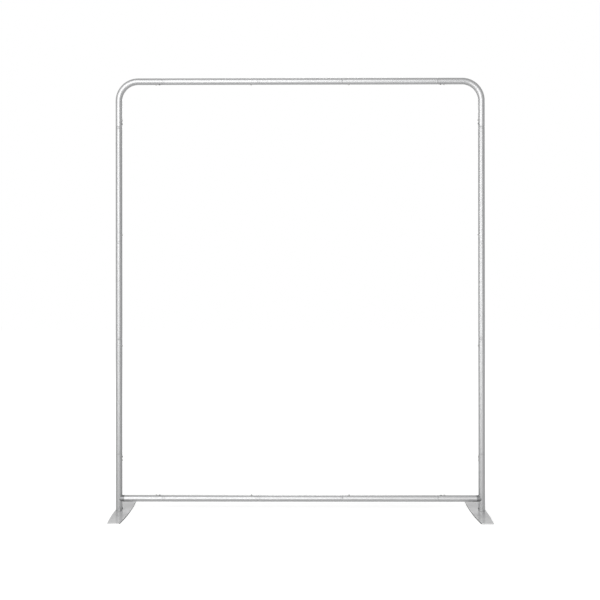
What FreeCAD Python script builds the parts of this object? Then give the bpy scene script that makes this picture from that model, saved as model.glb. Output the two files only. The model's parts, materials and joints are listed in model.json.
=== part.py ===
import FreeCAD, Part
import Sketcher
import math
import os

# Free-standing display wall frame of round aluminium tube, in millimetres.
# X runs across the frame, Y from front to back and Z up. The origin is on the floor in the middle.

doc = FreeCAD.newDocument("display_wall_frame")
sheet = doc.addObject("Spreadsheet::Sheet", "Sizes")


class Size:
    """A length that carries both its number and the sheet expression that gives it."""

    def __init__(self, number, text):
        self.number = number
        self.text = text

    def __add__(self, other):
        other = as_size(other)
        return Size(self.number + other.number, f"({self.text} + {other.text})")

    def __sub__(self, other):
        other = as_size(other)
        return Size(self.number - other.number, f"({self.text} - {other.text})")

    def __mul__(self, other):
        other = as_size(other)
        return Size(self.number * other.number, f"({self.text} * {other.text})")

    def __truediv__(self, other):
        other = as_size(other)
        return Size(self.number / other.number, f"({self.text} / {other.text})")

    def __neg__(self):
        return Size(-self.number, f"(-1 * {self.text})")


def as_size(value):
    if isinstance(value, Size):
        return value
    return Size(value, str(value))


def root(size):
    return Size(math.sqrt(size.number), f"sqrt({size.text})")


def size(alias, number, meaning):
    """Put one driving dimension in the sheet and hand it back."""
    size.row += 1
    sheet.set(f"A{size.row}", meaning)
    sheet.set(f"B{size.row}", str(number))
    sheet.setAlias(f"B{size.row}", alias)
    return Size(number, f"Sizes.{alias}")


size.row = 0

# The frame as a whole
frame_width = size("frame_width", 1830, "across the outsides of the uprights")
frame_height = size("frame_height", 2150, "floor to the top of the top bar")
tube_od = size("tube_od", 32, "outside diameter of every tube")
tube_wall = size("tube_wall", 1.5, "wall of every tube")
bend_radius = size("bend_radius", 96, "bend of a top corner, on the tube's centre line")
bottom_height = size("bottom_height", 66, "floor to the centre of the bottom bar")

# Where the tubes are divided
rail_centre_length = size("rail_centre_length", 420, "middle tube of the top and bottom bars")
corner_across = size("corner_across", 217, "upright's centre line to the outer seam of a bar")
corner_down = size("corner_down", 225, "top bar's centre line to the top seam of an upright")
post_top = size("post_top", 287, "floor to the lowest seam of an upright")
upright_middle_length = size("upright_middle_length", 486, "middle tube of an upright")
socket_chamfer = size("socket_chamfer", 0.5, "bevel on the end that takes a sleeve")
shoulder_length = size("shoulder_length", 4, "taper on the end that carries a sleeve")
shoulder_depth = size("shoulder_depth", 1, "how far that taper runs in")
crimp_setback = size("crimp_setback", 10, "seam to the middle of the crimp that holds a sleeve")
crimp_width = size("crimp_width", 3, "width of that crimp")
crimp_depth = size("crimp_depth", 0.6, "how far the crimp is rolled in")

# Joining sleeves
sleeve_insert = size("sleeve_insert", 60, "sleeve inside each of the two tubes it joins")
sleeve_wall = size("sleeve_wall", 2, "wall of a sleeve")
sleeve_clearance = size("sleeve_clearance", 0.15, "gap between a tube and what slides inside it")
sleeve_chamfer = size("sleeve_chamfer", 1, "lead-in at a sleeve's ends")

# Snap buttons and their leaf springs
button_setback = size("button_setback", 32, "seam to the button's centre")
button_diameter = size("button_diameter", 8, "button's stem")
button_clearance = size("button_clearance", 0.2, "gap round the stem in its holes")
button_rise = size("button_rise", 3.4, "button above the tube")
button_dome = size("button_dome", 2.6, "height of the button's domed end")
flange_diameter = size("flange_diameter", 11, "button's collar inside the sleeve")
flange_thickness = size("flange_thickness", 1.4, "thickness of that collar")
flange_gap = size("flange_gap", 0.15, "collar to the sleeve and to the leaf under it")
leaf_width = size("leaf_width", 8, "width of a leaf spring")
leaf_thickness = size("leaf_thickness", 0.8, "thickness of a leaf spring")
leaf_bend = size("leaf_bend", 3, "bend of a leaf spring, on its centre line")
leaf_reach = size("leaf_reach", 40, "button's centre to the middle of the bend")
leaf_overhang = size("leaf_overhang", 5, "leaf beyond the button's centre")

# Screws that lock the corner joints and the feet
lock_setback = size("lock_setback", 15, "seam to the lock screw's centre")
screw_diameter = size("screw_diameter", 5, "lock screw's shank")
screw_clearance = size("screw_clearance", 0.2, "gap round a screw in its holes")
screw_head_diameter = size("screw_head_diameter", 9, "lock screw's head")
screw_head_height = size("screw_head_height", 1.6, "height of that head")
screw_head_edge = size("screw_head_edge", 0.5, "upright rim of that head")
screw_socket = size("screw_socket", 3, "hexagon socket across its flats")
screw_socket_depth = size("screw_socket_depth", 1.2, "depth of that socket")
screw_reach = size("screw_reach", 1.5, "lock screw's end past the sleeve's wall")

# Saddles between the posts and the bottom bar
saddle_collar = size("saddle_collar", 11, "saddle seen between the post and the bar")
saddle_spigot = size("saddle_spigot", 45, "saddle inside the bar")
saddle_tip = size("saddle_tip", 4, "post's centre line to the saddle's trimmed tips")
cope_clearance = size("cope_clearance", 0.1, "gap between a saddle and its post")
saddle_floor = size("saddle_floor", 8, "material under the saddle screw's head")
saddle_screw_diameter = size("saddle_screw_diameter", 6, "saddle screw's shank")
saddle_head_diameter = size("saddle_head_diameter", 10, "saddle screw's head")
saddle_head_height = size("saddle_head_height", 6, "height of that head")
saddle_head_room = size("saddle_head_room", 1, "gap round that head in its bore")
nut_flats = size("nut_flats", 10, "nut across its flats")
nut_thickness = size("nut_thickness", 5, "thickness of the nut")
nut_gap = size("nut_gap", 0.1, "nut's corners to the post's wall")

# Foot plates
foot_length = size("foot_length", 400, "foot plate, front to back")
foot_middle_width = size("foot_middle_width", 78, "foot plate's width at its middle")
foot_end_width = size("foot_end_width", 58, "foot plate's width at its ends")
foot_thickness = size("foot_thickness", 5, "foot plate's thickness")
foot_inset = size("foot_inset", 17.5, "post's centre line to the middle of the plate")
foot_corner_radius = size("foot_corner_radius", 4, "corners of the plate's outline")
foot_edge_radius = size("foot_edge_radius", 1, "rounded upper edge of the plate")
spigot_height = size("spigot_height", 40, "spigot above the plate")
spigot_wall = size("spigot_wall", 3, "wall of the spigot")
foot_screw_height = size("foot_screw_height", 11, "plate's top to the foot screw's centre")

# Sizes that follow from those above
tube_radius = tube_od / 2
tube_bore = tube_od - tube_wall * 2
sleeve_od = tube_bore - sleeve_clearance * 2
sleeve_bore_radius = sleeve_od / 2 - sleeve_wall
post_x = frame_width / 2 - tube_radius
top_z = frame_height - tube_radius
inner_seam = rail_centre_length / 2
outer_seam = post_x - corner_across
high_seam = top_z - corner_down
upright_middle = (high_seam + post_top) / 2
upper_seam = upright_middle + upright_middle_length / 2
lower_seam = upright_middle - upright_middle_length / 2
foot_screw_z = foot_thickness + foot_screw_height
saddle_end = tube_radius + saddle_collar
saddle_head_seat = saddle_end + saddle_floor
button_hole = button_diameter + button_clearance * 2
screw_hole = screw_diameter + screw_clearance * 2
saddle_hole = saddle_screw_diameter + screw_clearance * 2

# A flat collar under a round wall sits where its rim meets that wall
flange_radius = flange_diameter / 2
flange_top = root(sleeve_bore_radius * sleeve_bore_radius - flange_radius * flange_radius) - flange_gap
flange_bottom = flange_top - flange_thickness

EAST = FreeCAD.Vector(1, 0, 0)
WEST = FreeCAD.Vector(-1, 0, 0)
UP = FreeCAD.Vector(0, 0, 1)
DOWN = FreeCAD.Vector(0, 0, -1)
SIDES = {"left": -1, "right": 1}
OUTWARD = {"left": WEST, "right": EAST}
INWARD = {"left": EAST, "right": WEST}

# How near to the plane of an end an edge has to lie to belong to that end
NEAR = 1

# The numbers that a sketch gives to its two axes, which start at its origin, and to a line's points
X_AXIS, Y_AXIS = range(-1, -3, -1)
START, END, CENTRE = range(1, 4)


def bind(item, path, length):
    item.setExpression(path, length.text)


def new_body(label):
    body = doc.addObject("PartDesign::Body", label)
    body.Label = label
    return body


def new_sketch(body, name, role, lift=None):
    """Start a sketch on one of the body's own planes, or at a height above it."""
    sketch = body.newObject("Sketcher::SketchObject", f"{body.Name}_{name}")
    plane = next(p for p in body.Origin.OriginFeatures if p.Role == role)
    sketch.AttachmentSupport = (plane, [""])
    sketch.MapMode = "FlatFace"
    if lift:
        bind(sketch, "AttachmentOffset.Base.z", lift)
    return sketch


def constrain(sketch, *parts, length):
    index = sketch.addConstraint(Sketcher.Constraint(*parts, length.number))
    bind(sketch, f"Constraints[{index}]", length)


def pin(sketch, line, end, point):
    """Fix one end of a sketch line by its two distances from the sketch's origin."""
    for way, axis, value in (("DistanceX", Y_AXIS, point[0]), ("DistanceY", X_AXIS, point[1])):
        if value == 0:
            sketch.addConstraint(Sketcher.Constraint("PointOnObject", line, end, axis))
        else:
            constrain(sketch, way, X_AXIS, START, line, end, length=value)


def vector(point):
    return FreeCAD.Vector(as_size(point[0]).number, as_size(point[1]).number, 0)


def add_circle(sketch, x, y, diameter):
    circle = Part.Circle(vector((x, y)), UP, diameter.number / 2)
    index = sketch.addGeometry(circle)
    pin(sketch, index, CENTRE, (x, y))
    constrain(sketch, "Diameter", index, length=diameter)


def arc_radius(half, rise):
    """The radius of an arc that rises by rise over half of its chord."""
    return (half * half + rise * rise) / (rise * 2)


def add_arc(sketch, start, end, radius):
    """Draw the short arc from start to end that bulges to the right of the line between them."""
    first = vector(start)
    last = vector(end)
    chord = last - first
    rise = math.sqrt(radius.number**2 - chord.Length**2 / 4)
    left = FreeCAD.Vector(-chord.y, chord.x, 0).normalize()
    middle = (first + last) / 2 + left * rise
    circle = Part.Circle(middle, UP, radius.number)
    begin = math.atan2(first.y - middle.y, first.x - middle.x)
    finish = math.atan2(last.y - middle.y, last.x - middle.x)
    index = sketch.addGeometry(Part.ArcOfCircle(circle, begin, finish))
    constrain(sketch, "Radius", index, length=radius)
    return index


def add_line(sketch, start, end):
    """Draw one stretch of an outline and hand back its index, its first end and its last end."""
    if len(start) == 2:
        return sketch.addGeometry(Part.LineSegment(vector(start), vector(end))), START, END
    radius = start[2]
    if radius.number > 0:
        return add_arc(sketch, start, end, radius), START, END
    return add_arc(sketch, end, start, -radius), END, START


def draw(sketch, points, closed=True):
    """Draw an outline through points, where a third value is the radius of the arc to the next point.

    The arc bulges to the right of the outline's way, or to the left where its radius is negative.
    """
    ends = points[1:]
    if closed:
        ends = ends + points[:1]
    lines = [add_line(sketch, start, end) for start, end in zip(points, ends)]
    followers = lines[1:]
    if closed:
        followers = followers + lines[:1]
    for (line, _, last), (follower, first, _) in zip(lines, followers):
        sketch.addConstraint(Sketcher.Constraint("Coincident", line, last, follower, first))
    for (line, first, _), point in zip(lines, points):
        pin(sketch, line, first, point)
    if not closed:
        line, _, last = lines[-1]
        pin(sketch, line, last, points[-1])


def corner_reach(flats):
    """Centre to corner of a hexagon, from its size across the flats."""
    return flats / math.sqrt(3)


def hexagon(sketch, flats):
    """Draw a hexagon round the sketch's origin, from its size across the flats."""
    half = flats / 2
    corner = corner_reach(flats)
    point = corner / 2
    draw(sketch, [(corner, 0), (point, half), (-point, half), (-corner, 0), (-point, -half), (point, -half)])


def revolve(body, sketch):
    turned = body.newObject("PartDesign::Revolution", f"{sketch.Name}_turned")
    turned.Profile = sketch
    turned.ReferenceAxis = (sketch, ["V_Axis"])
    turned.Angle = 360
    return turned


def pad(body, sketch, length):
    padded = body.newObject("PartDesign::Pad", f"{sketch.Name}_pad")
    padded.Profile = sketch
    bind(padded, "Length", length)
    return padded


def pocket(body, sketch, length, flip=False):
    cut = body.newObject("PartDesign::Pocket", f"{sketch.Name}_cut")
    cut.Profile = sketch
    cut.Reversed = flip
    bind(cut, "Length", length)
    return cut


def sweep(body, sketch, path):
    swept = body.newObject("PartDesign::AdditivePipe", f"{path.Name}_swept")
    swept.Profile = sketch
    swept.Spine = (path, [f"Edge{i + 1}" for i in range(path.GeometryCount)])
    return swept


def dress(body, kind, base, edges, amount):
    """Chamfer or fillet the edges of a feature that a test picks out."""
    doc.recompute()
    names = [f"Edge{i + 1}" for i, edge in enumerate(base.Shape.Edges) if edges(edge)]
    dressed = body.newObject(f"PartDesign::{kind}", f"{base.Name}_{kind.lower()}")
    dressed.Base = (base, names)
    bind(dressed, "Size" if kind == "Chamfer" else "Radius", amount)
    return dressed


def drill(body, holes):
    """Drill round holes, (height, diameter), through the wall on the body's +X side."""
    sketch = new_sketch(body, "holes", "YZ_Plane")
    for height, diameter in holes:
        add_circle(sketch, 0, height, diameter)
    return pocket(body, sketch, tube_od, flip=True)


def place(body, position, forward, side):
    """Stand a body at position, with its Z axis along forward and its X axis along side."""
    rotation = FreeCAD.Rotation(side, FreeCAD.Vector(), forward, "ZXY")
    body.Placement = FreeCAD.Placement(FreeCAD.Vector(), rotation)
    for axis, value in zip("xyz", position):
        bind(body, f"Placement.Base.{axis}", as_size(value))
    return body


def group(label, bodies):
    """Gather identical pieces in one node, each still a solid of its own."""
    node = doc.addObject("Part::Compound", label)
    node.Label = label
    node.Links = bodies
    return node


def crimp(wall, middle, way):
    """The two outline points of a crimp, with the arc that runs towards the axis between them.

    The outline runs up its outside, way 1, and down its inside, way -1.
    """
    reach = crimp_width / 2 * way
    radius = arc_radius(crimp_width / 2, crimp_depth)
    return [(wall, middle - reach, -radius * way), (wall, middle + reach)]


def straight_tube(label, start, forward, side, length, holes=(), carries=(False, False)):
    """A tube along forward from start, with its holes on the given side.

    An end that carries a sleeve is tapered and crimped. Any other end is bevelled.
    """
    body = new_body(label)
    bore = tube_bore / 2
    bevel = (socket_chamfer, socket_chamfer)
    taper = (shoulder_depth, shoulder_length)
    first = taper if carries[0] else bevel
    last = taper if carries[1] else bevel
    crimps = [at for at, carried in zip((crimp_setback, length - crimp_setback), carries) if carried]
    outline = [(bore, 0), (tube_radius - first[0], 0), (tube_radius, first[1])]
    for at in crimps:
        outline += crimp(tube_radius, at, 1)
    outline += [(tube_radius, length - last[1]), (tube_radius - last[0], length), (bore, length)]
    for at in reversed(crimps):
        outline += crimp(bore, at, -1)
    section = new_sketch(body, "section", "XZ_Plane")
    draw(section, outline)
    revolve(body, section)
    if holes:
        drill(body, holes)
    return place(body, start, forward, side)


def top_corner(label, side):
    """A bent tube whose two arms take the sleeves of the top bar and of the upright."""
    body = new_body(label)
    path = new_sketch(body, "centre_line", "XZ_Plane")
    bend_end = (bend_radius, 0, bend_radius)
    bend_start = (0, -bend_radius)
    draw(path, [(corner_across, 0), bend_end, bend_start, (0, -corner_down)], closed=False)
    ring = new_sketch(body, "ring", "XY_Plane", lift=-corner_down)
    add_circle(ring, 0, 0, tube_od)
    add_circle(ring, 0, 0, tube_bore)
    bent = sweep(body, ring, path)

    def is_rim(edge):
        box = edge.BoundBox
        at_end = box.ZMax < NEAR - corner_down.number or box.XMin > corner_across.number - NEAR
        return at_end and edge.Length > math.pi * tube_od.number - NEAR

    dress(body, "Chamfer", bent, is_rim, socket_chamfer)
    drill(body, [(button_setback - corner_down, button_hole), (lock_setback - corner_down, screw_hole)])
    across = new_sketch(body, "across_holes", "XY_Plane")
    add_circle(across, corner_across - button_setback, 0, button_hole)
    add_circle(across, corner_across - lock_setback, 0, screw_hole)
    pocket(body, across, tube_od)
    return place(body, (post_x * SIDES[side], 0, top_z), UP, INWARD[side])


def sleeve(name, seam, forward, side, locked):
    """A joining sleeve across a seam, crimped before the seam and with its holes beyond it."""
    body = new_body(f"sleeve_{name}")
    outer = sleeve_od / 2
    section = new_sketch(body, "section", "XZ_Plane")
    draw(section, [
        (sleeve_bore_radius, -sleeve_insert),
        (outer - sleeve_chamfer, -sleeve_insert),
        (outer, sleeve_chamfer - sleeve_insert),
        *crimp(outer, -crimp_setback, 1),
        (outer, sleeve_insert - sleeve_chamfer),
        (outer - sleeve_chamfer, sleeve_insert),
        (sleeve_bore_radius, sleeve_insert),
    ])
    revolve(body, section)
    holes = [(button_setback, button_hole)]
    if locked:
        holes.append((lock_setback, screw_hole))
    drill(body, holes)
    return place(body, seam, forward, side)


def beyond(seam, forward, distance):
    """The point at a distance past a seam, on the tube's centre line."""
    return [as_size(at) + distance * step for at, step in zip(seam, forward)]


def snap_button(name, seam, forward, side):
    """A domed pin with a collar that keeps it inside the sleeve."""
    body = new_body(f"snap_button_{name}")
    stem = button_diameter / 2
    top = tube_radius + button_rise
    section = new_sketch(body, "section", "XZ_Plane")
    draw(section, [
        (0, flange_bottom),
        (flange_radius, flange_bottom),
        (flange_radius, flange_top),
        (stem, flange_top),
        (stem, top - button_dome, arc_radius(stem, button_dome)),
        (0, top),
    ])
    revolve(body, section)
    return place(body, beyond(seam, forward, button_setback), side, forward)


def button_spring(name, seam, forward, side):
    """A strip bent to a narrow V: one leg under the button, the other on the far wall of the sleeve."""
    body = new_body(f"button_spring_{name}")
    upper_x = flange_bottom - flange_gap - leaf_thickness / 2
    far_wall = root(sleeve_bore_radius * sleeve_bore_radius - leaf_width * leaf_width / 4)
    lower_x = leaf_thickness + flange_gap - far_wall
    upper_end = button_setback + leaf_overhang
    bend_z = button_setback - leaf_reach
    path = new_sketch(body, "bend_line", "XZ_Plane")
    centre = vector((upper_x - leaf_bend, bend_z))
    bend = Part.ArcOfCircle(Part.Circle(centre, UP, leaf_bend.number), -math.pi, 0)
    upper_leg = Part.LineSegment(vector((upper_x, upper_end)), vector((upper_x, bend_z)))
    lower_leg = Part.LineSegment(vector((upper_x - leaf_bend * 2, bend_z)), vector((lower_x, button_setback)))
    upper, turn, lower = path.addGeometry([upper_leg, bend, lower_leg])
    path.addConstraint(Sketcher.Constraint("Tangent", upper, END, turn, END))
    path.addConstraint(Sketcher.Constraint("Tangent", lower, START, turn, START))
    pin(path, upper, START, (upper_x, upper_end))
    pin(path, upper, END, (upper_x, bend_z))
    pin(path, lower, END, (lower_x, button_setback))
    constrain(path, "Radius", turn, length=leaf_bend)
    strip = new_sketch(body, "strip", "XY_Plane", lift=upper_end)
    near = upper_x - leaf_thickness / 2
    far = upper_x + leaf_thickness / 2
    half = leaf_width / 2
    draw(strip, [(near, -half), (far, -half), (far, half), (near, half)])
    sweep(body, strip, path)
    return place(body, seam, forward, side)


def lock_screw(name, centre, side):
    """A low button-head screw that points at the tube's centre line from the given side."""
    body = new_body(f"lock_screw_{name}")
    shank = screw_diameter / 2
    head = screw_head_diameter / 2
    crown = screw_head_diameter / 4
    dome_radius = arc_radius(head - crown, screw_head_height - screw_head_edge)
    section = new_sketch(body, "section", "XZ_Plane")
    draw(section, [
        (0, sleeve_bore_radius - screw_reach),
        (shank, sleeve_bore_radius - screw_reach),
        (shank, tube_radius),
        (head, tube_radius),
        (head, tube_radius + screw_head_edge, dome_radius),
        (crown, tube_radius + screw_head_height),
        (0, tube_radius + screw_head_height),
    ])
    revolve(body, section)
    socket = new_sketch(body, "socket", "XY_Plane", lift=tube_radius + screw_head_height)
    hexagon(socket, screw_socket)
    pocket(body, socket, screw_socket_depth)
    return place(body, centre, side, UP if side.z == 0 else EAST)


def saddle(label, side):
    """The fitting that carries the bottom bar, coped to the post and plugged into the bar."""
    body = new_body(label)
    hole = saddle_hole / 2
    spigot = sleeve_od / 2
    bore = saddle_head_diameter / 2 + saddle_head_room
    end = saddle_end + saddle_spigot
    section = new_sketch(body, "section", "XZ_Plane")
    draw(section, [
        (hole, saddle_tip),
        (tube_radius, saddle_tip),
        (tube_radius, saddle_end),
        (spigot, saddle_end),
        (spigot, end - sleeve_chamfer),
        (spigot - sleeve_chamfer, end),
        (bore, end),
        (bore, saddle_head_seat),
        (hole, saddle_head_seat),
    ])
    revolve(body, section)
    for name, flip in (("cope_up", True), ("cope_down", False)):
        cope = new_sketch(body, name, "YZ_Plane")
        add_circle(cope, 0, 0, tube_od + cope_clearance * 2)
        pocket(body, cope, tube_od, flip)
    return place(body, (post_x * SIDES[side], 0, bottom_height), INWARD[side], UP)


def saddle_screw(side):
    """The cap screw inside a saddle, whose shank reaches the nut in the post."""
    body = new_body(f"saddle_screw_{side}")
    shank = saddle_screw_diameter / 2
    head = saddle_head_diameter / 2
    section = new_sketch(body, "section", "XZ_Plane")
    draw(section, [
        (0, nut_seat() - nut_thickness - screw_reach),
        (shank, nut_seat() - nut_thickness - screw_reach),
        (shank, saddle_head_seat),
        (head, saddle_head_seat),
        (head, saddle_head_seat + saddle_head_height),
        (0, saddle_head_seat + saddle_head_height),
    ])
    revolve(body, section)
    return place(body, (post_x * SIDES[side], 0, bottom_height), INWARD[side], UP)


def nut_seat():
    """Where a flat nut meets the round inside of the post with its outer corners."""
    corner = corner_reach(nut_flats)
    return root(tube_bore * tube_bore / 4 - corner * corner) - nut_gap


def saddle_nut(side):
    body = new_body(f"saddle_nut_{side}")
    outline = new_sketch(body, "outline", "XY_Plane", lift=nut_seat() - nut_thickness)
    hexagon(outline, nut_flats)
    add_circle(outline, 0, 0, saddle_hole)
    pad(body, outline, nut_thickness)
    return place(body, (post_x * SIDES[side], 0, bottom_height), INWARD[side], UP)


def foot(label, side):
    """A flat plate with bowed long sides, and the spigot welded to it that carries the post."""
    body = new_body(label)
    half = foot_length / 2
    bow = (foot_middle_width - foot_end_width) / 2
    bow_radius = arc_radius(half, bow)
    near = foot_inset - foot_end_width / 2
    far = foot_inset + foot_end_width / 2
    outline = new_sketch(body, "outline", "XY_Plane")
    draw(outline, [(near, -half), (far, -half, bow_radius), (far, half), (near, half, bow_radius)])
    plate = pad(body, outline, foot_thickness)

    def is_corner(edge):
        return edge.BoundBox.ZLength > foot_thickness.number / 2

    def is_upper(edge):
        return edge.BoundBox.ZMin > foot_thickness.number / 2

    rounded = dress(body, "Fillet", plate, is_corner, foot_corner_radius)
    dress(body, "Fillet", rounded, is_upper, foot_edge_radius)
    ring = new_sketch(body, "spigot", "XY_Plane", lift=foot_thickness)
    add_circle(ring, 0, 0, sleeve_od)
    add_circle(ring, 0, 0, sleeve_od - spigot_wall * 2)
    pad(body, ring, spigot_height)
    drill(body, [(foot_screw_z, screw_hole)])
    return place(body, (post_x * SIDES[side], 0, 0), UP, INWARD[side])


def bar_tubes(bar, height, side_of_buttons):
    """The three tubes of a horizontal bar, whose middle one carries a sleeve at each end."""
    centre = straight_tube(f"{bar}_rail_centre", (-inner_seam, 0, height), EAST, side_of_buttons,
                           rail_centre_length, carries=(True, True))
    nodes = [centre]
    for side in SIDES:
        nodes.append(straight_tube(f"{bar}_rail_{side}", (inner_seam * SIDES[side], 0, height), OUTWARD[side],
                                   side_of_buttons, outer_seam - inner_seam,
                                   [(button_setback, button_hole)], carries=(False, True)))
    return nodes


def upright_tubes(side):
    """The four tubes of an upright below its top corner, from the middle one outwards."""
    x = post_x * SIDES[side]
    inward = INWARD[side]
    button = (button_setback, button_hole)
    lock = (lock_setback, screw_hole)
    foot_hole = (post_top - foot_screw_z, screw_hole)
    saddle_screw_hole = (post_top - bottom_height, saddle_hole)
    return [
        straight_tube(f"upright_middle_{side}", (x, 0, lower_seam), UP, inward, upright_middle_length,
                      carries=(True, True)),
        straight_tube(f"upright_upper_{side}", (x, 0, upper_seam), UP, inward, high_seam - upper_seam,
                      [button], carries=(False, True)),
        straight_tube(f"upright_lower_{side}", (x, 0, lower_seam), DOWN, inward, lower_seam - post_top,
                      [button], carries=(False, True)),
        straight_tube(f"base_post_{side}", (x, 0, post_top), DOWN, inward, post_top - foot_thickness,
                      [button, lock, foot_hole, saddle_screw_hole]),
    ]


def bottom_stub(side):
    """The outer piece of the bottom bar, between its last seam and the saddle."""
    start = (outer_seam * SIDES[side], 0, bottom_height)
    length = post_x - saddle_end - outer_seam
    holes = [(button_setback, button_hole), (lock_setback, screw_hole)]
    return straight_tube(f"bottom_stub_{side}", start, OUTWARD[side], UP, length, holes)


def bar_seams(bar, height, facing):
    """The four seams of a bar: name, point, way out of the frame, way into it, and whether it is locked."""
    seams = []
    for side in SIDES:
        inner = (inner_seam * SIDES[side], 0, height)
        outer = (outer_seam * SIDES[side], 0, height)
        seams.append((f"{bar}_{side}_inner", inner, OUTWARD[side], facing, False))
        seams.append((f"{bar}_{side}_outer", outer, OUTWARD[side], facing, True))
    return seams


def upright_seams(side):
    """The four seams of an upright, given as for a bar."""
    x = post_x * SIDES[side]
    facing = INWARD[side]
    return [
        (f"{side}_high", (x, 0, high_seam), UP, facing, True),
        (f"{side}_upper", (x, 0, upper_seam), UP, facing, False),
        (f"{side}_lower", (x, 0, lower_seam), DOWN, facing, False),
        (f"{side}_low", (x, 0, post_top), DOWN, facing, True),
    ]


def build():
    """Make every node of the frame."""
    doc.recompute()
    nodes = []
    for side in SIDES:
        nodes.append(top_corner(f"top_corner_{side}", side))
        nodes.append(foot(f"foot_{side}", side))
        nodes.append(saddle(f"saddle_{side}", side))
        nodes.append(bottom_stub(side))
        nodes += upright_tubes(side)
    nodes += bar_tubes("top", top_z, DOWN)
    nodes += bar_tubes("bottom", bottom_height, UP)

    seams = {
        "top": bar_seams("top", top_z, DOWN),
        "bottom": bar_seams("bottom", bottom_height, UP),
        "left": upright_seams("left"),
        "right": upright_seams("right"),
    }
    screws = []
    for row, row_seams in seams.items():
        sleeves = []
        for name, seam, forward, facing, locked in row_seams:
            sleeves.append(sleeve(name, seam, forward, facing, locked))
            nodes.append(snap_button(name, seam, forward, facing))
            nodes.append(button_spring(name, seam, forward, facing))
            if locked:
                screws.append(lock_screw(name, beyond(seam, forward, lock_setback), facing))
        nodes.append(group(f"{row}_sleeves", sleeves))
    fasteners = []
    for side in SIDES:
        screws.append(lock_screw(f"foot_{side}", (post_x * SIDES[side], 0, foot_screw_z), INWARD[side]))
        fasteners.append(saddle_screw(side))
        fasteners.append(saddle_nut(side))
    nodes.append(group("lock_screws", screws))
    nodes.append(group("saddle_fasteners", fasteners))
    doc.recompute()
    return nodes


def check(nodes):
    """Stop if anything in the document failed or any node is empty or broken."""
    for item in doc.Objects:
        if "Invalid" in item.State or "Error" in item.State:
            raise RuntimeError(f"{item.Label} failed: {item.State}")
    for node in nodes:
        if node.Shape.isNull() or not node.Shape.isValid() or not node.Shape.Solids:
            raise RuntimeError(f"{node.Label} has no valid solid")


nodes = build()
check(nodes)
os.makedirs("parts", exist_ok=True)
for node in nodes:
    node.Shape.exportStep(f"parts/{node.Label}.step")
print(len(nodes), "nodes,", sum(len(node.Shape.Solids) for node in nodes), "solids")
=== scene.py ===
"""A bare display wall frame of joined aluminium tubes on two steel feet."""
import json
import math

import bmesh
import bpy
from mathutils import Matrix, Vector

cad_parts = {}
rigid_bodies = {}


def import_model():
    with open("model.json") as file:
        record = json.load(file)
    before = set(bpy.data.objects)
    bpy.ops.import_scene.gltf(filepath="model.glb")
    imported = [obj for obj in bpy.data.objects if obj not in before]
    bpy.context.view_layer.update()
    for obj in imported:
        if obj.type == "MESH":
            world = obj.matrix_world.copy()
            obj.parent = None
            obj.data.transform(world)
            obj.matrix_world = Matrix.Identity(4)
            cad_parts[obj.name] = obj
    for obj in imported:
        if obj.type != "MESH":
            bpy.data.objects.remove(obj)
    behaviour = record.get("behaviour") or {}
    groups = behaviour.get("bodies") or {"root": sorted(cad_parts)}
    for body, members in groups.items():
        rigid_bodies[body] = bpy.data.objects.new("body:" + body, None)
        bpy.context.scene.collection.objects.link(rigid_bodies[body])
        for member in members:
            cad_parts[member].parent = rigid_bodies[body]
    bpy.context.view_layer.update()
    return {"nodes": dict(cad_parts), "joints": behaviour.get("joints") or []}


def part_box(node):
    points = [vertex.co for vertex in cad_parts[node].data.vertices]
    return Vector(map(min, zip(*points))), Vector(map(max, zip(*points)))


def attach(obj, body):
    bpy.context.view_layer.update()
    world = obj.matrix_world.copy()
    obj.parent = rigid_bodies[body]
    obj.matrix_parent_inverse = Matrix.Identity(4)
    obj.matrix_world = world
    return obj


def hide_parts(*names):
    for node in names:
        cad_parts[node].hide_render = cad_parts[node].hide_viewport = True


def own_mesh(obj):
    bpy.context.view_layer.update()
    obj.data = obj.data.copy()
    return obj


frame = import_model()
nodes = frame["nodes"]
scene = bpy.context.scene
scene.view_settings.view_transform = "Standard"

MM = 0.001
Y = Vector((0, 1, 0))


def middle(box):
    return (box[0] + box[1]) / 2


def reach(box, way):
    """How far a box goes along one of the axes' ways: its lowest and its highest."""
    return sorted(corner.dot(way) for corner in box)


# The photograph's viewpoint, with turns in degrees and shifts as shares of the picture
CAMERA_PLACE = (0, -4, 1.198)
CAMERA_TURNS = (90.06, 0.046, 0.32)
LENS_MM = 48.38
SENSOR_MM = 36
SHIFT_ACROSS = 0.0074
SHIFT_UP = -0.0513

# The white that the camera and reflections see, and the softer light that the room gives
WHITE = (1, 1, 1, 1)
SEEN_STRENGTH = 1
ROOM_STRENGTH = 0.3

# The floor: its two greys, and its own glow, which grows with the distance from its middle
FLOOR_HALF = 12
FLOOR_GREY = 0.8
FLOOR_SEEN_GREY = 0.5
GLOW_NEAR = 0.655
GLOW_FAR = 0.87
GLOW_START = 0.6
GLOW_END = 2

# Most of a noise's values lie between these two
NOISE_LOW = 0.3
NOISE_HIGH = 0.7

# The lines that drawing leaves on a tube, as noise scales across and along it
LINES_ACROSS = 1100.0
LINES_ALONG = 5.0

# Where the uprights and the top bar run, and the bend between them
POST_X = middle(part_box("base_post_right")).x
TOP_Z = middle(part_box("top_rail_centre")).z
BEND_RADIUS = 96 * MM

# The strip that each leaf spring is bent from
LEAF_THICKNESS = 0.8 * MM
LEAF_EDGE = 0.2 * MM
LEAF_BEND = 3 * MM
BEND_STEPS = 14


def make_camera():
    data = bpy.data.cameras.new("camera")
    data.lens = LENS_MM
    data.sensor_width = SENSOR_MM
    data.shift_x = SHIFT_ACROSS
    data.shift_y = SHIFT_UP
    camera = bpy.data.objects.new("camera", data)
    camera.location = CAMERA_PLACE
    camera.rotation_euler = [math.radians(turn) for turn in CAMERA_TURNS]
    scene.collection.objects.link(camera)
    scene.camera = camera


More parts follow.
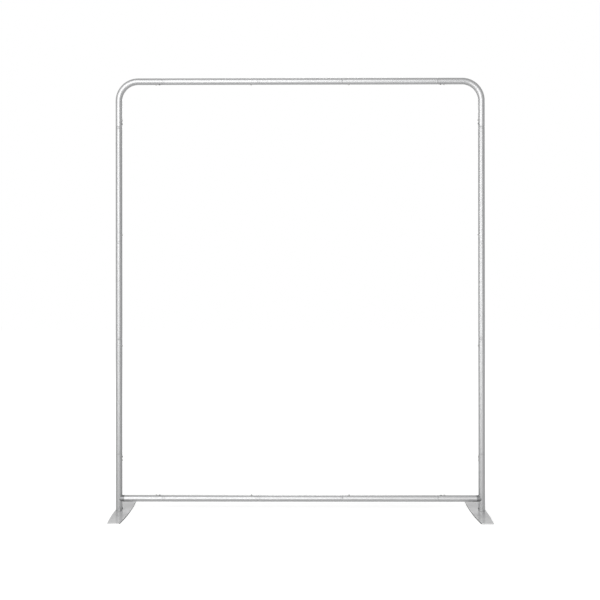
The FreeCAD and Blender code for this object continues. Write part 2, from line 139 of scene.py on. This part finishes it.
def make_lamp(name, place, target, width, height, watts, spread=180):
    """A soft box that faces its target, with the angle over which it shines."""
    data = bpy.data.lights.new(name, "AREA")
    data.shape = "RECTANGLE"
    data.spread = math.radians(spread)
    data.size = width
    data.size_y = height
    data.energy = watts
    lamp = bpy.data.objects.new(name, data)
    lamp.location = place
    lamp.rotation_euler = (Vector(target) - Vector(place)).to_track_quat("-Z", "Y").to_euler()
    scene.collection.objects.link(lamp)


def seen_directly(tree):
    """One for a ray that shows the background: straight, by reflection or through something."""
    path = tree.nodes.new("ShaderNodeLightPath")
    either = tree.nodes.new("ShaderNodeMath")
    either.operation = "MAXIMUM"
    tree.links.new(path.outputs["Is Camera Ray"], either.inputs[0])
    tree.links.new(path.outputs["Is Glossy Ray"], either.inputs[1])
    any_of = tree.nodes.new("ShaderNodeMath")
    any_of.operation = "MAXIMUM"
    tree.links.new(either.outputs[0], any_of.inputs[0])
    tree.links.new(path.outputs["Is Transmission Ray"], any_of.inputs[1])
    return any_of.outputs[0]


def background(tree, strength):
    node = tree.nodes.new("ShaderNodeBackground")
    node.inputs["Color"].default_value = WHITE
    node.inputs["Strength"].default_value = strength
    return node.outputs[0]


def show_by_ray(tree, unseen, seen, output):
    """Give the output one shader for rays that show the background and another for the rest."""
    mix = tree.nodes.new("ShaderNodeMixShader")
    tree.links.new(seen_directly(tree), mix.inputs["Fac"])
    tree.links.new(unseen, mix.inputs[1])
    tree.links.new(seen, mix.inputs[2])
    tree.links.new(mix.outputs[0], output.inputs["Surface"])


def make_world():
    world = bpy.data.worlds.new("studio")
    world.use_nodes = True
    tree = world.node_tree
    tree.nodes.clear()
    room = background(tree, ROOM_STRENGTH)
    white = background(tree, SEEN_STRENGTH)
    show_by_ray(tree, room, white, tree.nodes.new("ShaderNodeOutputWorld"))
    scene.world = world


def matt(tree, grey):
    node = tree.nodes.new("ShaderNodeBsdfDiffuse")
    node.inputs["Color"].default_value = (*shade(grey), 1)
    return node.outputs[0]


def glow(tree):
    """Light from the floor itself: less near the middle, where the object's shadow falls."""
    place = tree.nodes.new("ShaderNodeTexCoord")
    away = tree.nodes.new("ShaderNodeVectorMath")
    away.operation = "LENGTH"
    fade = tree.nodes.new("ShaderNodeMapRange")
    fade.inputs["From Min"].default_value = GLOW_START
    fade.inputs["From Max"].default_value = GLOW_END
    fade.inputs["To Min"].default_value = GLOW_NEAR
    fade.inputs["To Max"].default_value = GLOW_FAR
    white = tree.nodes.new("ShaderNodeEmission")
    tree.links.new(place.outputs["Object"], away.inputs[0])
    tree.links.new(away.outputs["Value"], fade.inputs["Value"])
    tree.links.new(fade.outputs["Result"], white.inputs["Strength"])
    return white.outputs[0]


def floor_material():
    """A floor that shows the object's shadow near it and runs into the white background farther off."""
    material = bpy.data.materials.new("floor")
    material.use_nodes = True
    tree = material.node_tree
    tree.nodes.clear()
    both = tree.nodes.new("ShaderNodeAddShader")
    tree.links.new(matt(tree, FLOOR_SEEN_GREY), both.inputs[0])
    tree.links.new(glow(tree), both.inputs[1])
    output = tree.nodes.new("ShaderNodeOutputMaterial")
    show_by_ray(tree, matt(tree, FLOOR_GREY), both.outputs[0], output)
    return material


def make_floor():
    half = FLOOR_HALF
    data = bpy.data.meshes.new("floor")
    corners = [(-half, -half, 0), (half, -half, 0), (half, half, 0), (-half, half, 0)]
    data.from_pydata(corners, [], [(0, 1, 2, 3)])
    data.materials.append(floor_material())
    floor = bpy.data.objects.new("floor", data)
    scene.collection.objects.link(floor)


class Finish:
    """A node material: one shader, and the noise that varies it."""

    def __init__(self, name, colour, metallic, roughness):
        self.material = bpy.data.materials.new(name)
        self.material.use_nodes = True
        self.tree = self.material.node_tree
        self.shader = self.tree.nodes["Principled BSDF"]
        self.shader.inputs["Base Color"].default_value = (*colour, 1)
        self.shader.inputs["Metallic"].default_value = metallic
        self.shader.inputs["Roughness"].default_value = roughness
        self.place = self.add("ShaderNodeTexCoord").outputs["Object"]

    def add(self, kind):
        return self.tree.nodes.new(kind)

    def feed(self, socket, value):
        if isinstance(value, bpy.types.NodeSocket):
            self.tree.links.new(value, socket)
        else:
            socket.default_value = value

    def set(self, name, value):
        self.feed(self.shader.inputs[name], value)

    def math(self, operation, first, second=0.0):
        node = self.add("ShaderNodeMath")
        node.operation = operation
        self.feed(node.inputs[0], first)
        self.feed(node.inputs[1], second)
        return node.outputs[0]

    def split(self, vector):
        node = self.add("ShaderNodeSeparateXYZ")
        self.feed(node.inputs[0], vector)
        return node.outputs

    def stretch(self, place, scale):
        node = self.add("ShaderNodeVectorMath")
        node.operation = "MULTIPLY"
        self.feed(node.inputs[0], place)
        node.inputs[1].default_value = scale
        return node.outputs[0]

    def noise(self, place, scale, detail=4.0):
        node = self.add("ShaderNodeTexNoise")
        self.feed(node.inputs["Vector"], place)
        node.inputs["Scale"].default_value = scale
        node.inputs["Detail"].default_value = detail
        node.inputs["Roughness"].default_value = 0.6
        return node.outputs["Fac"]

    def remap(self, value, low, high, start, end):
        node = self.add("ShaderNodeMapRange")
        self.feed(node.inputs["Value"], value)
        node.inputs["From Min"].default_value = low
        node.inputs["From Max"].default_value = high
        node.inputs["To Min"].default_value = start
        node.inputs["To Max"].default_value = end
        return node.outputs["Result"]

    def vary(self, noise, start, end):
        """A value that goes from start to end as the noise rises."""
        return self.remap(noise, NOISE_LOW, NOISE_HIGH, start, end)

    def tint(self, share, dark, light):
        node = self.add("ShaderNodeMix")
        node.data_type = "RGBA"
        self.feed(node.inputs["Factor"], share)
        node.inputs["A"].default_value = (*dark, 1)
        node.inputs["B"].default_value = (*light, 1)
        self.set("Base Color", node.outputs["Result"])

    def bump(self, height, distance):
        node = self.add("ShaderNodeBump")
        node.inputs["Strength"].default_value = 1
        node.inputs["Distance"].default_value = distance
        self.feed(node.inputs["Height"], height)
        self.set("Normal", node.outputs["Normal"])


def shade(value):
    return (value, value, value)


def tube_finish(name, tone, across):
    """Satin anodised tube: fine lines drawn along it, and faint handling marks."""
    finish = Finish(name, shade(tone), metallic=0.85, roughness=0.48)
    lines = finish.noise(across(finish), scale=1.0, detail=3.0)
    marks = finish.noise(finish.place, scale=14.0, detail=5.0)
    grain = finish.noise(finish.place, scale=900.0, detail=2.0)
    dark = (0.9 * tone, 0.905 * tone, 0.915 * tone)
    light = (1.08 * tone, 1.085 * tone, 1.09 * tone)
    finish.tint(finish.vary(lines, 0.0, 1.0), dark, light)
    lined = finish.vary(lines, 0.42, 0.54)
    marked = finish.remap(marks, low=0.35, high=0.65, start=-0.02, end=0.02)
    finish.set("Roughness", finish.math("ADD", lined, marked))
    finish.bump(finish.math("ADD", lines, grain), 0.02 * MM)
    return finish.material


def lines_along(axis):
    """Noise place for lines that run along X (axis 0) or Z (axis 2)."""
    scale = [LINES_ACROSS, LINES_ACROSS, LINES_ACROSS]
    scale[axis] = LINES_ALONG
    return lambda finish: finish.stretch(finish.place, scale)


def lines_round_bend(finish):
    """Noise place for lines that follow a corner from one arm, round its bend, to the other."""
    parts = finish.split(finish.place)
    out = finish.math("SUBTRACT", finish.math("ABSOLUTE", parts["X"]), POST_X - BEND_RADIUS)
    over = finish.math("SUBTRACT", parts["Z"], TOP_Z - BEND_RADIUS)
    out = finish.math("MAXIMUM", out, 0.0)
    over = finish.math("MAXIMUM", over, 0.0)
    squares = finish.math("ADD", finish.math("POWER", out, 2.0), finish.math("POWER", over, 2.0))
    joined = finish.add("ShaderNodeCombineXYZ")
    finish.feed(joined.inputs["X"], finish.math("SQRT", squares))
    finish.feed(joined.inputs["Y"], parts["Y"])
    return finish.stretch(joined.outputs[0], (LINES_ACROSS, LINES_ACROSS, 1.0))


def sleeve_finish():
    """Mill finish, brighter than the tubes and rubbed by sliding in them."""
    finish = Finish("sleeve_mill", shade(0.55), metallic=1.0, roughness=0.42)
    rubs = finish.noise(finish.stretch(finish.place, (40.0, 300.0, 40.0)), scale=1.0)
    finish.tint(rubs, shade(0.48), shade(0.6))
    finish.set("Roughness", finish.vary(rubs, 0.34, 0.5))
    finish.bump(rubs, 0.02 * MM)
    return finish.material


def saddle_finish():
    """Dark grey moulding with a satin sheen and a fine grain."""
    finish = Finish("saddle_cast", shade(0.17), metallic=0.6, roughness=0.38)
    grain = finish.noise(finish.place, scale=1500.0, detail=3.0)
    clouds = finish.noise(finish.place, scale=60.0)
    finish.tint(clouds, (0.15, 0.152, 0.156), (0.19, 0.191, 0.193))
    finish.set("Roughness", finish.vary(grain, 0.34, 0.42))
    finish.bump(grain, 0.02 * MM)
    return finish.material


def foot_finish():
    """Silver plating on steel under a clear gloss: fine flakes, soft clouds, and long sides without the
    coat, painted near black as painted shade.
    """
    finish = Finish("foot_coat", shade(0.5), metallic=0.1, roughness=0.45)
    flakes = finish.noise(finish.place, scale=1400.0, detail=2.0)
    clouds = finish.noise(finish.place, scale=9.0)
    facing = finish.split(finish.add("ShaderNodeTexCoord").outputs["Normal"])
    sideways = finish.math("ABSOLUTE", facing["X"])
    # The long sides, facing along X, get near-black colour, less specular and no coat: painted shade.
    clear_of_painted_shade = finish.remap(sideways, low=0.5, high=0.8, start=1.0, end=0.0)
    cover = finish.vary(clouds, 0.94, 1.0)
    finish.tint(finish.math("MULTIPLY", clear_of_painted_shade, cover), shade(0.05), (0.51, 0.511, 0.514))
    finish.set("Specular IOR Level", finish.remap(clear_of_painted_shade, low=0.0, high=1.0, start=0.15, end=0.25))
    finish.set("Coat Weight", finish.math("MULTIPLY", clear_of_painted_shade, 0.6))
    finish.set("Coat Roughness", finish.vary(clouds, 0.05, 0.1))
    speckled = finish.vary(flakes, 0.4, 0.5)
    clouded = finish.vary(clouds, -0.03, 0.03)
    finish.set("Roughness", finish.math("ADD", speckled, clouded))
    finish.bump(flakes, 0.01 * MM)
    return finish.material


def button_finish():
    """Pin with nickel plating, scuffed a little where a thumb presses it."""
    finish = Finish("button_nickel", shade(0.3), metallic=1.0, roughness=0.25)
    scuffs = finish.noise(finish.place, scale=700.0, detail=5.0)
    finish.tint(scuffs, (0.25, 0.247, 0.24), (0.35, 0.345, 0.335))
    finish.set("Roughness", finish.vary(scuffs, 0.18, 0.34))
    finish.bump(scuffs, 0.02 * MM)
    return finish.material


def spring_finish():
    """Blued spring steel with rolled lines."""
    finish = Finish("spring_steel", (0.2, 0.21, 0.24), metallic=1.0, roughness=0.34)
    rolled = finish.noise(finish.place, scale=1200.0, detail=3.0)
    finish.tint(rolled, (0.17, 0.18, 0.21), (0.25, 0.255, 0.28))
    finish.set("Roughness", finish.vary(rolled, 0.28, 0.42))
    finish.bump(rolled, 0.01 * MM)
    return finish.material


def screw_finish():
    """Black oxide, a little worn to grey."""
    finish = Finish("screw_oxide", shade(0.05), metallic=1.0, roughness=0.42)
    worn = finish.noise(finish.place, scale=900.0, detail=5.0)
    bare = finish.remap(worn, low=0.45, high=0.75, start=0.0, end=1.0)
    finish.tint(bare, shade(0.035), shade(0.12))
    finish.set("Roughness", finish.vary(worn, 0.5, 0.34))
    finish.bump(worn, 0.02 * MM)
    return finish.material


def fastener_finish():
    """Zinc plate, mottled."""
    finish = Finish("fastener_zinc", (0.5, 0.51, 0.53), metallic=1.0, roughness=0.35)
    mottle = finish.noise(finish.place, scale=450.0, detail=5.0)
    finish.tint(mottle, (0.42, 0.43, 0.45), (0.58, 0.585, 0.6))
    finish.set("Roughness", finish.vary(mottle, 0.28, 0.42))
    finish.bump(mottle, 0.02 * MM)
    return finish.material


def dress(material, *starts):
    """Give the material to every node whose name starts with one of these words."""
    for name, node in nodes.items():
        if name.startswith(starts):
            for slot in node.material_slots:
                slot.material = material


def leaf_line(box, button, facing, out):
    """The leaf's centre line, with X towards the button's end and Z along the tube, out of the frame."""
    half = LEAF_THICKNESS / 2
    wall, face = reach(box, facing)
    turn, start = reach(box, out)
    centre = Vector((face - half - LEAF_BEND, 0, turn + half + LEAF_BEND))
    tip = Vector((wall + half, 0, button.dot(out)))
    to_tip = tip - centre
    last = math.atan2(to_tip.z, to_tip.x) + math.acos(LEAF_BEND / to_tip.length) - 2 * math.pi
    line = [Vector((face - half, 0, start))]
    for step in range(BEND_STEPS + 1):
        angle = last * step / BEND_STEPS
        line.append(centre + LEAF_BEND * Vector((math.cos(angle), 0, math.sin(angle))))
    line.append(tip)
    return line


def leaf_section(width):
    """The strip's outline across its width and thickness, with its four edges broken."""
    wide = width / 2
    thick = LEAF_THICKNESS / 2
    corners = [(wide, thick - LEAF_EDGE), (wide - LEAF_EDGE, thick)]
    mirrored = [(-y, x) for y, x in reversed(corners)]
    half = corners + mirrored
    return half + [(-y, -x) for y, x in half]


def leaf_mesh(name, line, section):
    """The section carried along the line and closed at both ends."""
    mesh = bmesh.new()
    rings = []
    for index, point in enumerate(line):
        ahead = line[min(index + 1, len(line) - 1)] - line[max(index - 1, 0)]
        normal = Vector((-ahead.z, 0, ahead.x)).normalized()
        rings.append([mesh.verts.new(point + normal * thick + Y * wide) for wide, thick in section])
    count = len(section)
    for first, second in zip(rings, rings[1:]):
        for index in range(count):
            after = (index + 1) % count
            mesh.faces.new((first[index], first[after], second[after], second[index]))
    mesh.faces.new(rings[0])
    mesh.faces.new(rings[-1])
    bmesh.ops.recalc_face_normals(mesh, faces=mesh.faces)
    data = bpy.data.meshes.new(name)
    mesh.to_mesh(data)
    mesh.free()
    return data


def make_leaf(joint, material):
    """A leaf spring that gives way as its button is pressed."""
    seam = joint["name"].removeprefix("press_")
    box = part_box(f"button_spring_{seam}")
    button = middle(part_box(f"snap_button_{seam}"))
    facing = -Vector(joint["axis"])
    beside = button - middle(box)
    out = (beside - facing * beside.dot(facing)).normalized()
    wide = box[1].y - box[0].y
    data = leaf_mesh(f"leaf_{seam}", leaf_line(box, button, facing, out), leaf_section(wide))
    data.transform(Matrix((facing, out.cross(facing), out)).transposed().to_4x4())
    data.materials.append(material)
    leaf = bpy.data.objects.new(f"leaf_{seam}", data)
    scene.collection.objects.link(leaf)
    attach(leaf, joint["parent"])
    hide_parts(f"button_spring_{seam}")
    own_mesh(leaf)


make_camera()
make_world()
make_floor()
make_lamp("key", (-1.5, -4.6, 2.5), (0, 0, 1.1), width=5.4, height=3.6, watts=280)
make_lamp("low", (0, -3.6, 0.35), (0, 0, 0.25), width=5, height=0.6, watts=25)
make_lamp("side", (-1.5, -1.35, 0.9), (0.9, 0, 0.8), width=0.9, height=2.4, watts=3.6, spread=60)
make_lamp("back", (0, 4.6, 4), (0, 0, 1.1), width=1.8, height=2.4, watts=90)

# One anodised finish in three tones for light, not colour: uprights painted darker as painted shade,
# rails painted lighter as painted light, corners in between.
upright_painted_shade_finish = tube_finish("tube_upright_painted_shade", 0.315, lines_along(2))
rail_painted_light_finish = tube_finish("tube_rail_painted_light", 0.37, lines_along(0))
corner_finish = tube_finish("tube_corner", 0.345, lines_round_bend)
leaf_finish = spring_finish()
dress(upright_painted_shade_finish, "upright_", "base_post_")
dress(rail_painted_light_finish, "top_rail_", "bottom_rail_", "bottom_stub_")
dress(corner_finish, "top_corner_")
dress(sleeve_finish(), "top_sleeves", "bottom_sleeves", "left_sleeves", "right_sleeves")
dress(saddle_finish(), "saddle_left", "saddle_right")
dress(foot_finish(), "foot_")
dress(button_finish(), "snap_button_")
dress(leaf_finish, "button_spring_")
dress(screw_finish(), "lock_screws")
dress(fastener_finish(), "saddle_fasteners")
for joint in frame["joints"]:
    make_leaf(joint, leaf_finish)
